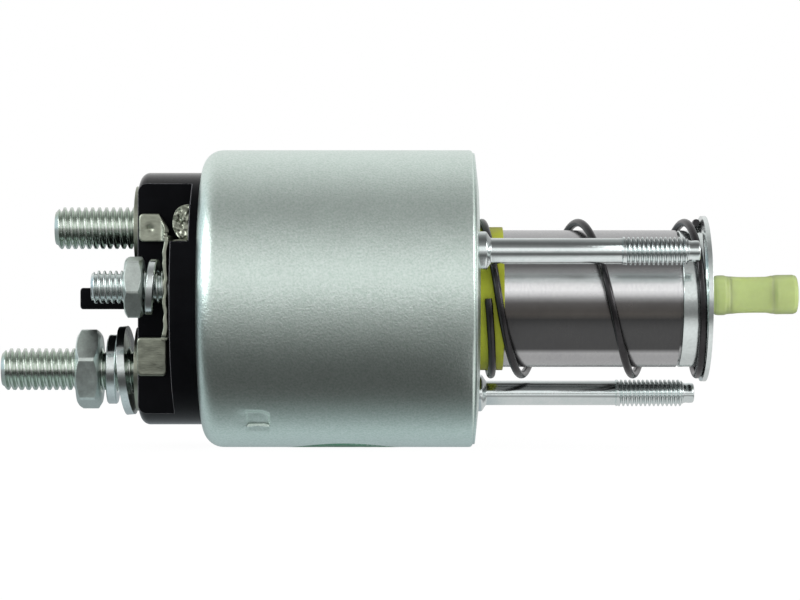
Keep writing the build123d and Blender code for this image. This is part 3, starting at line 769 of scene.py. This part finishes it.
for studName, studValues in contactStud["studs"].items():
    makeContactStud(studName, *studValues)

# control stud
controlStud = {
    "y": -16.5, "z": 2.0, "radius": 2.87, "pitch": 1.0, "chamfer": 0.6, "shoulder": -53.8, "tip": -67.7,
    "foot": -50.2, "footThick": 1.5, "footRadius": 4.0,
}


def makeControlStud():
    s = controlStud
    inside = [
        (s["foot"], 0), (s["foot"], s["footRadius"]), (s["foot"] - s["footThick"], s["footRadius"]),
        (s["foot"] - s["footThick"], s["radius"]), (s["shoulder"], s["radius"]), (s["shoulder"], 0),
    ]
    thread = {
        "root": s["shoulder"] + 0.1, "tip": s["tip"], "radius": s["radius"], "pitch": s["pitch"],
        "chamfer": s["chamfer"], "columns": 72, "rows": 12,
    }
    makeStud("controlStud", "terminal_50_stud", "studZinc", (s["y"], s["z"]), 64, inside, thread)


makeControlStud()
print("studs threaded")

# nuts; the large one sits 0.2 mm nearer the can than its solid
largeNut = {"flats": 13.0, "bore": 3.75, "thick": 4.25, "turn": 15.0}
largeNut["back"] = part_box("lower_stud_nut")[0].x / mm + 0.2
smallNut = {"flats": 10.0, "bore": 2.75, "thick": 3.2, "back": -61.8, "turn": -21.0}

shape = hexNut(largeNut, (0, -contactStud["z"]))
makePiece("largeNut", shape, "nutZinc", ["lower_stud_nut"], 20)
shape = hexNut(smallNut, (controlStud["y"], controlStud["z"]))
makePiece("smallNut", shape, "nutZinc", ["terminal_50_nut"], 20)

# split lock washers, sprung open towards the front
smallWasher = {
    "inner": 2.95, "outer": 4.95, "thick": 1.4, "back": -58.58, "rise": 1.65, "share": 0.965,
    "y": controlStud["y"], "z": controlStud["z"],
}
largeWasher = {"inner": 4.1, "outer": 6.25, "thick": 1.75, "rise": 0.3, "share": 0.97}
corner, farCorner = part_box("lower_stud_lock_washer")
largeWasher["back"] = corner.x / mm + 0.05
largeWasher["y"], largeWasher["z"] = (corner.y + farCorner.y) / 2 / mm, (corner.z + farCorner.z) / 2 / mm


def makeSplitWasher(name, node, s):
    inner, outer, thick = s["inner"], s["outer"], s["thick"]
    corners = [
        (inner, 0.12), (inner + 0.12, 0), (outer - 0.2, 0), (outer, 0.2),
        (outer, thick - 0.2), (outer - 0.2, thick), (inner + 0.12, thick), (inner, thick - 0.12),
    ]
    steps, count = 120, len(corners)
    verts = []
    for k in range(steps + 1):
        share = s["share"] * k / steps
        turn = -2 * math.pi * share
        rise = s["rise"] * max(0.0, share - 0.2) / 0.8
        verts += [onRing(s["back"] + x + rise, r, turn, (s["y"], s["z"])) for r, x in corners]
    faces = ringFaces(steps + 1, count)
    faces += [list(range(count)), list(range(steps * count, (steps + 1) * count))]
    makePiece(name, (verts, faces), "studZinc", [node], 40)


makeSplitWasher("smallLockWasher", "terminal_50_lock_washer", smallWasher)
makeSplitWasher("largeLockWasher", "lower_stud_lock_washer", largeWasher)
print("nuts and washers made")

# control terminal's strip and its two ears; each ear is (rear, front, low, high)
strip = {
    "front": -53.85, "thick": 0.8, "farY": -10.2, "nearY": -20.6, "top": 11.0, "bottom": -6.8, "round": 0.8,
    "lowEar": (-60.38, -55.12, -13.7, -6.8), "highEar": (-60.0, -56.5, 10.0, 15.0),
    "bend": 1.9, "tail": 2.0, "tailTop": 11.6, "dimple": 0.34, "dimpleAlong": 1.9, "dimpleZ": 12.3,
}


def makeStrip():
    s = strip
    web = roundedBox(s["farY"] - s["nearY"] - 0.6, s["top"] - s["bottom"], 0.5)
    middleY, middleZ = (s["farY"] + s["nearY"] - 0.6) / 2, (s["top"] + s["bottom"]) / 2

    def webPlace(u, v, h):
        near = smoothStep(0, 5, -u)
        wave = 0.11 * math.sin(v * 0.9 + 0.6) + 0.08 * math.sin(v * 2.1 + u * 0.4)
        rough = 0.18 * noise.noise(Vector((v * 0.9, h * 2, 7.7))) * near
        return (s["front"] - h + wave - 0.16 - 0.2 * near + rough, middleY + u, middleZ + v)

    x0, x1, z0, z1 = s["lowEar"]
    lowEar = roundedBox(x1 - x0, z1 - z0, s["round"])

    def lowPlace(u, v, h):
        ripple = 0.06 * noise.noise(Vector((u * 0.6, v * 0.6, 3.1)))
        lean = 0.045 * (v - (z1 - z0) / 2)
        y = s["farY"] - h + (ripple - lean) * (h > 0.4) - lean * 0.5
        return ((x0 + x1) / 2 + u, y, (z0 + z1) / 2 + v)

    neck = roundedBox(1.3, 2.0, 0.5)

    def neckPlace(u, v, h):
        return (x1 - 0.4 + u + 0.3 * smoothStep(-1.0, 1.0, v), s["farY"] - h, s["bottom"] + 0.25 + v)

    # the upper ear: flat on the block, round the bend and down towards the web
    flatFrom, flatTo, low, high = s["highEar"]
    arc = s["bend"] * math.pi / 2
    length = flatTo - flatFrom + arc + s["tail"]
    ear = roundedBox(length, high - low, s["round"])

    def highPlace(u, v, h):
        along = u + length / 2
        past = along - (flatTo - flatFrom)
        top = 1 - (high - s["tailTop"]) / (high - low) * min(1.0, max(0.0, past / arc))
        z = low + (v + (high - low) / 2) * top
        dimple = s["dimple"] * math.exp(-((along - s["dimpleAlong"]) ** 2 + (z - s["dimpleZ"]) ** 2) / 0.3)
        h -= (dimple - 0.06 * noise.noise(Vector((u * 0.7, v * 0.7, 5.3)))) * (h > 0.4)
        if past < 0:
            return (flatFrom + along, s["farY"] - h, z)
        turn = min(past / s["bend"], math.pi / 2)
        after = max(0, past - arc)
        x = flatTo + (s["bend"] - h) * math.sin(turn)
        y = s["farY"] - s["bend"] + (s["bend"] - h) * math.cos(turn) - after
        return (x, y, z)

    shape = joined(
        pressedPlate(web, s["thick"], webPlace, 0.16),
        pressedPlate(lowEar, s["thick"], lowPlace, 0.25, 12),
        pressedPlate(neck, s["thick"], neckPlace, 0.14, 4),
        pressedPlate(ear, s["thick"], highPlace, 0.25, 16),
    )
    makePiece("controlStrip", shape, "tinned", ["terminal_50_strip"], 50)


makeStrip()

# the winding's end: a straight run inside and a crumpled leaf in the cap's recess
tongue = {
    "back": -53.75, "front": -50.85, "low": 10.0, "high": 16.5, "y": -14.6, "thick": 0.7, "crumple": 0.55,
    "runEnd": -35.9, "runZ": 13.5, "runHalf": 1.5, "runThick": 0.8, "lipReach": 0.9, "lipThick": 0.5,
}


def makeTongue():
    s = tongue
    high = s["high"] - s["low"]
    deep = s["front"] - s["back"]
    outline = [(0, 0), (0, high)]
    for k in range(1, 16):
        turn = math.pi * k / 16
        outline.append((-deep * math.sin(turn) ** 0.8, high / 2 + high / 2 * math.cos(turn)))
    outline = fineLine(outline + [(0, 0)], 0.3)[:-1]

    def leafPlace(u, v, h):
        fold = noise.noise(Vector((u * 0.7, v * 0.6, 1.7)))
        fold += 0.6 * noise.noise(Vector((u * 1.7, v * 1.5, 4.2)))
        crease = 0.5 - abs(math.sin(v * 1.05 + u * 0.9 + 0.4))
        return (s["front"] + u, s["y"] - h + s["crumple"] * (fold + 0.4 * crease), s["low"] + v)

    lip = roundedBox(deep * 0.95, 1.5, 0.3)

    def lipPlace(u, v, h):
        fall = s["lipReach"] * (v + 0.75) / 1.5
        bow = 0.25 * math.cos(u / deep * math.pi)
        z = s["low"] + 0.05 + h * 0.5 + bow * 0.5 - 0.12 * fall
        return (s["front"] - deep * 0.52 + u, s["y"] - 0.4 - fall, z)

    run = roundedBox(s["runEnd"] - s["front"] + 1, 2 * s["runHalf"], 0.1)

    def runPlace(u, v, h):
        return ((s["runEnd"] + s["front"] - 1) / 2 + u, s["y"] - h, s["runZ"] + v)

    shape = joined(
        pressedPlate(outline, s["thick"], leafPlace, 0.12, 14),
        pressedPlate(lip, s["lipThick"], lipPlace, 0.1, 5),
        pressedPlate(run, s["runThick"], runPlace, 0.1, 3),
    )
    makePiece("windingTongue", shape, "tinned", ["winding_lead"], 50)


makeTongue()
print("strip and tongue pressed")

# return spring: uneven turns, the first one leaning
returnSpring = {
    "wire": 1.4, "mean": 13.7, "seat": -0.3, "end": 40.2, "gap": 0.02, "turns": 3.75, "openStart": 0.86,
    "openTurns": 1.96, "ease": 0.3, "lean": 2.94, "leanPlace": 0.26, "leanTurns": 1.0, "stroke": 11.0,
    "steps": 360, "sides": 20,
}


def easedTurns(turn):
    ease = returnSpring["ease"]
    if turn < -ease:
        return 0
    return turn if turn > ease else (turn + ease) ** 2 / (4 * ease)


def returnSpringLine():
    # places along X at even steps of the turns; the first turn leans and just touches its seat
    s = returnSpring
    start = s["seat"] + s["wire"] / 2 + s["gap"]
    end = s["end"] - s["wire"] / 2 - s["gap"]
    line = []
    for k in range(s["steps"] + 1):
        turn = s["turns"] * k / s["steps"]
        swing = (1 + math.cos(2 * math.pi * (turn - s["leanPlace"]))) / 2
        lean = s["lean"] * swing * max(0, 1 - turn / s["leanTurns"])
        opened = easedTurns(turn - s["openStart"]) - easedTurns(turn - s["openStart"] - s["openTurns"])
        line.append(start + lean + (end - start) * opened / s["openTurns"])
    letDown = (end - start) / (end - min(line))
    return [end - (end - x) * letDown for x in line]


def makeReturnSpring():
    s = returnSpring
    points = []
    for k, x in enumerate(returnSpringLine()):
        points.append(onRing(x, -s["mean"], 2 * math.pi * s["turns"] * k / s["steps"]))
    wire = sweepWire(points, s["wire"] / 2, s["sides"])
    spring = makePiece("returnSpring", wire, "springWire", ["return_spring"], 60)
    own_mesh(spring)


makeReturnSpring()

# the three springs inside; anchor is the end that stays put
innerSprings = {
    "meshSpring": {
        "node": "mesh_spring", "wire": 2.0, "mean": 6.2, "turns": 5.5, "body": "plunger_group",
        "joint": "link_slide", "anchor": "high", "travel": 5.0,
    },
    "contactReturnSpring": {
        "node": "contact_return_spring", "wire": 0.8, "mean": 3.9, "turns": 4.5, "body": "solenoid_body",
        "joint": "rod_slide", "anchor": "low", "travel": 3.0,
    },
    "contactPressureSpring": {
        "node": "contact_pressure_spring", "wire": 0.9, "mean": 4.2, "turns": 3.5, "body": "moving_rod",
        "joint": "contact_slide", "anchor": "high", "travel": 1.0,
    },
}


def makeInnerSpring(name, s):
    low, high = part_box(s["node"])
    back, front = low.x / mm + s["wire"] / 2, high.x / mm - s["wire"] / 2
    points = []
    steps = round(s["turns"] * 48)
    for k in range(steps + 1):
        turn = 2 * math.pi * s["turns"] * k / steps
        points.append(onRing(back + (front - back) * k / steps, s["mean"], turn))
    wire = sweepWire(points, s["wire"] / 2, 14)
    spring = makePiece(name, wire, "innerSpringWire", [s["node"]], 60, s["body"])
    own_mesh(spring)


for springName, springSize in innerSprings.items():
    makeInnerSpring(springName, springSize)
print("springs wound")

# link for the shift lever: head in the plunger, bead, body with the lever's slot, end
link = {
    "pivot": 40.2, "lift": 0.56, "lean": 0.7, "head": 8.5, "headThick": 3.5, "shank": 3.3,
    "slotFrom": 45.45, "slotTo": 53.05, "slotHalf": 1.5, "square": 3.4, "squareFrom": (44.6, 46.0),
    "squareTo": (52.2, 53.8), "around": 96, "points": 30,
    # x, half the height, half the depth
    "sections": [
        (17.0, 3.3, 3.3), (42.5, 3.3, 3.3), (42.85, 3.52, 3.52), (43.3, 3.6, 3.6), (44.3, 3.6, 3.6),
        (44.9, 3.44, 3.3), (45.45, 3.38, 2.95), (49.2, 3.34, 2.85), (52.2, 3.36, 2.85), (53.05, 3.44, 3.0),
        (53.9, 3.55, 3.5), (56.7, 3.55, 3.55), (57.2, 3.42, 3.42), (57.45, 3.2, 3.2), (57.55, 2.8, 2.8),
    ],
}


def makeLink():
    s = link
    rows = s["sections"]

    def section(x):
        for (x0, h0, w0), (x1, h1, w1) in zip(rows, rows[1:]):
            if x <= x1:
                share = smoothStep(x0, x1, x)
                return h0 + (h1 - h0) * share, w0 + (w1 - w0) * share
        return rows[-1][1:]

    def power(x):  # 2 is round; more is squarer
        return 2 + (s["square"] - 2) * smoothStep(*s["squareFrom"], x) * (1 - smoothStep(*s["squareTo"], x))

    def rim(x, turn):
        high, deep = section(x)
        p = 2 / power(x)
        c, n = math.cos(turn), math.sin(turn)
        return (math.copysign(deep * abs(c) ** p, c), math.copysign(high * abs(n) ** p, n))

    def stations(start, end, step):
        count = max(1, round((end - start) / step))
        return [start + (end - start) * k / count for k in range(count + 1)]

    def tube(loops):
        count = len(loops[0])
        faces = ringFaces(len(loops), count)
        faces += [list(range(count))[::-1], list(range((len(loops) - 1) * count, len(loops) * count))]
        return [point for loop in loops for point in loop], faces

    def whole(start, end, step):
        turns = [2 * math.pi * k / s["around"] for k in range(s["around"])]
        return tube([[(x, *rim(x, turn)) for turn in turns] for x in stations(start, end, step)])

    def cheek(side):
        # the wall on one side of the slot, whose ends are round
        loops = []
        for x in stations(s["slotFrom"], s["slotTo"], 0.1):
            reach = max(s["slotFrom"] + s["slotHalf"] - x, x - s["slotTo"] + s["slotHalf"], 0)
            inner = math.sqrt(max(0, s["slotHalf"] ** 2 - reach**2))
            deep = section(x)[1]
            limit = math.acos(min(1, (inner / deep) ** (power(x) / 2)))
            loop = []
            for k in range(s["points"] + 1):
                y, z = rim(x, -limit + 2 * limit * k / s["points"])
                loop.append((x, side * max(y, inner), z))
            top, low = loop[-1][2], loop[0][2]
            loop += [(x, side * inner, top + (low - top) * k / 8) for k in range(1, 8)]
            loops.append(loop)
        return tube(loops)

    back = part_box("plunger_link")[0].x / mm + 0.06
    front = back + s["headThick"]
    head = lathe(softCorners([
        (back, 0), (back, s["head"], 0.5), (front, s["head"], 0.5), (front, s["shank"] - 0.3),
        (front - 0.5, 0),
    ]), s["around"])
    shank, end = whole(rows[0][0], s["slotFrom"], 0.12), whole(s["slotTo"], rows[-1][0], 0.06)
    verts, faces = joined(head, shank, cheek(1), cheek(-1), end)
    lean = math.radians(s["lean"])
    c, n = math.cos(lean), math.sin(lean)
    turned = []
    for x, y, z in verts:
        along = x - s["pivot"]
        turned.append((s["pivot"] + along * c - z * n, y, s["lift"] + along * n + z * c))
    makePiece("leverLink", (turned, faces), "palePlastic", ["plunger_link"], 45, "link")


makeLink()
print("link made")

# finishes of the CAD nodes that stay; the solids replaced above are given plain steel
nodeFinish = {
    "front_plate": "plateZinc", "coil_bobbin": "yellowPlastic", "pull_in_winding": "enamelledWire",
    "hold_in_winding": "enamelledWire", "stator_core": "coreSteel", "core_bush": "bushBrass",
    "terminal_cap": "blackMoulding", "cap_gasket": "sealRubber", "stud_base_washers": "tinned",
    "lower_stud_flat_washer": "studZinc", "contact_rod": "coreSteel", "rod_clip": "coreSteel",
    "contact_disc": "contactCopper", "contact_insulator": "insulatorPlastic", "plunger": "groundSteel",
    "spring_retainer": "studZinc",
}
for nodeName in sorted(cad):
    cad[nodeName].data.materials.clear()
    cad[nodeName].data.materials.append(finishes[nodeFinish.get(nodeName, "coreSteel")])
print("CAD nodes finished:", len(nodeFinish))

# studio: what metal sees round it, the floor, two lights and the camera at the photo's angle
studio = {
    "sideFrom": 0.55, "sideTo": 0.95, "sideGlow": (0.55, 0.67, 0.74),
    # brightness seen round the object, by angle in degrees from the camera's side, going up
    "wall": [
        (-180, 0.6), (-150, 0.6), (-120, 0.4), (-95, 0.18), (-75, 0.08), (-45, 0.08), (-25, 0.2),
        (-10, 0.5), (0, 0.8), (7, 0.95), (14, 0.88), (24, 0.88), (36, 0.68), (50, 0.44), (62, 0.3),
        (74, 0.28), (84, 0.34), (94, 0.46), (110, 0.67), (130, 0.8), (160, 0.86), (180, 0.7),
    ],
    "floorZ": -26.75, "floorSize": 3.0, "floorFront": -0.9,
    "floorGrey": 0.8, "floorWhite": 1.04, "whiteShare": 0.93,
    # painted reflections: the glow metal sees in the floor, shown to glossy rays only, by distance in
    # millimetres in front of the axis
    "floorGlow": [
        (-400, 0.45), (-107, 0.33), (-69, 0.22), (-54, 0.15), (-42, 0.1), (-28, 0.085), (-22, 0.105),
        (-17, (0.23, 0.255, 0.26)), (-11, (0.5, 0.56, 0.58)), (-5, (0.47, 0.525, 0.55)),
        (0, (0.37, 0.41, 0.43)),
    ],
    # the same under the plunger and the studs
    "frontGlow": [
        (-400, 0.45), (-107, 0.3), (-69, 0.22), (-54, 0.25), (-42, 0.6), (-28, 0.85), (-17, 0.8), (-5, 0.7),
        (0, 0.6),
    ],
    "frontFrom": 0.0, "frontTo": 8.0,
    "lights": {"sideLeft": (-0.55, -0.25, 0.25), "sideRight": (0.55, -0.25, 0.25)},
    "lightTarget": (-0.014, 0, 0), "lightSize": 0.35, "lightPower": 1.6,
    "camera": (-0.01395, -0.510, -0.00025), "lens": 127.3,
}


def makeWorld():
    world = bpy.data.worlds.new("studioWorld")
    scene.world = world
    world.use_nodes = True
    tree = world.node_tree
    tree.nodes.clear()
    output = tree.nodes.new("ShaderNodeOutputWorld")
    way = splitXyz(tree, tree.nodes.new("ShaderNodeTexCoord").outputs["Generated"])
    angle = calculate(tree, "ARCTAN2", way["Z"], calculate(tree, "MULTIPLY", way["Y"], -1))
    around = mapRange(tree, angle, -math.pi, math.pi)
    wall = rampColor(tree, around, [((degrees + 180) / 360, value) for degrees, value in studio["wall"]])
    toSide = mapRange(tree, way["X"], -studio["sideFrom"], -studio["sideTo"], smooth=True)
    sided = blendColors(tree, toSide, wall, (*studio["sideGlow"], 1))
    light = colorShader(tree, "ShaderNodeBackground", sided)
    white = colorShader(tree, "ShaderNodeBackground", (1, 1, 1, 1))
    path = tree.nodes.new("ShaderNodeLightPath")
    seen = mixShaders(tree, path.outputs["Is Camera Ray"], light.outputs[0], white.outputs[0])
    tree.links.new(seen, output.inputs["Surface"])


def makeFloor():
    size, front, z = studio["floorSize"], studio["floorFront"], studio["floorZ"] * mm
    mesh = bpy.data.meshes.new("studioFloor")
    corners = [(-size, front, z), (size, front, z), (size, size, z), (-size, size, z)]
    mesh.from_pydata(corners, [], [[0, 1, 2, 3]])
    floor = addObject("studioFloor", mesh)
    material = bpy.data.materials.new("paleFloor")
    material.use_nodes = True
    tree = material.node_tree
    tree.nodes.clear()
    output = tree.nodes.new("ShaderNodeOutputMaterial")
    path = tree.nodes.new("ShaderNodeLightPath")
    diffuse = colorShader(tree, "ShaderNodeBsdfDiffuse", (*[studio["floorGrey"]] * 3, 1))
    white = colorShader(tree, "ShaderNodeEmission", (1, 1, 1, 1))
    white.inputs["Strength"].default_value = studio["floorWhite"]
    seen = mixShaders(tree, studio["whiteShare"], diffuse.outputs[0], white.outputs[0])
    place = splitXyz(tree, tree.nodes.new("ShaderNodeTexCoord").outputs["Object"])
    low, high = studio["floorGlow"][0][0], studio["floorGlow"][-1][0]
    depth = mapRange(tree, place["Y"], low * mm, high * mm)
    ramps = []
    for stops in (studio["floorGlow"], studio["frontGlow"]):
        ramps.append(rampColor(tree, depth, [((y - low) / (high - low), value) for y, value in stops]))
    along = mapRange(tree, place["X"], studio["frontFrom"] * mm, studio["frontTo"] * mm, smooth=True)
    # painted reflections: the floor glows for glossy rays only, by the two glow tables, and is plain
    # diffuse grey for other light
    glow = colorShader(tree, "ShaderNodeEmission", blendColors(tree, along, *ramps))
    lit = mixShaders(tree, path.outputs["Is Glossy Ray"], diffuse.outputs[0], glow.outputs[0])
    both = mixShaders(tree, path.outputs["Is Camera Ray"], lit, seen)
    tree.links.new(both, output.inputs["Surface"])
    mesh.materials.append(material)


def makeLight(name, place):
    data = bpy.data.lights.new(name, "AREA")
    data.shape = "RECTANGLE"
    data.size = data.size_y = studio["lightSize"]
    data.energy = studio["lightPower"]
    light = addObject(name, data)
    light.location = place
    aim = Vector(studio["lightTarget"]) - Vector(place)
    light.rotation_euler = aim.to_track_quat("-Z", "Y").to_euler()


def makeCamera():
    data = bpy.data.cameras.new("photoCamera")
    data.sensor_width = 36
    data.lens = studio["lens"]
    data.clip_start = 0.01
    camera = addObject("photoCamera", data)
    camera.location = studio["camera"]
    camera.rotation_euler = (math.radians(90), 0, 0)
    scene.camera = camera


makeWorld()
makeFloor()
for lightName, lightPlace in studio["lights"].items():
    makeLight(lightName, lightPlace)
makeCamera()
scene.view_settings.view_transform = "Standard"
print("studio set")
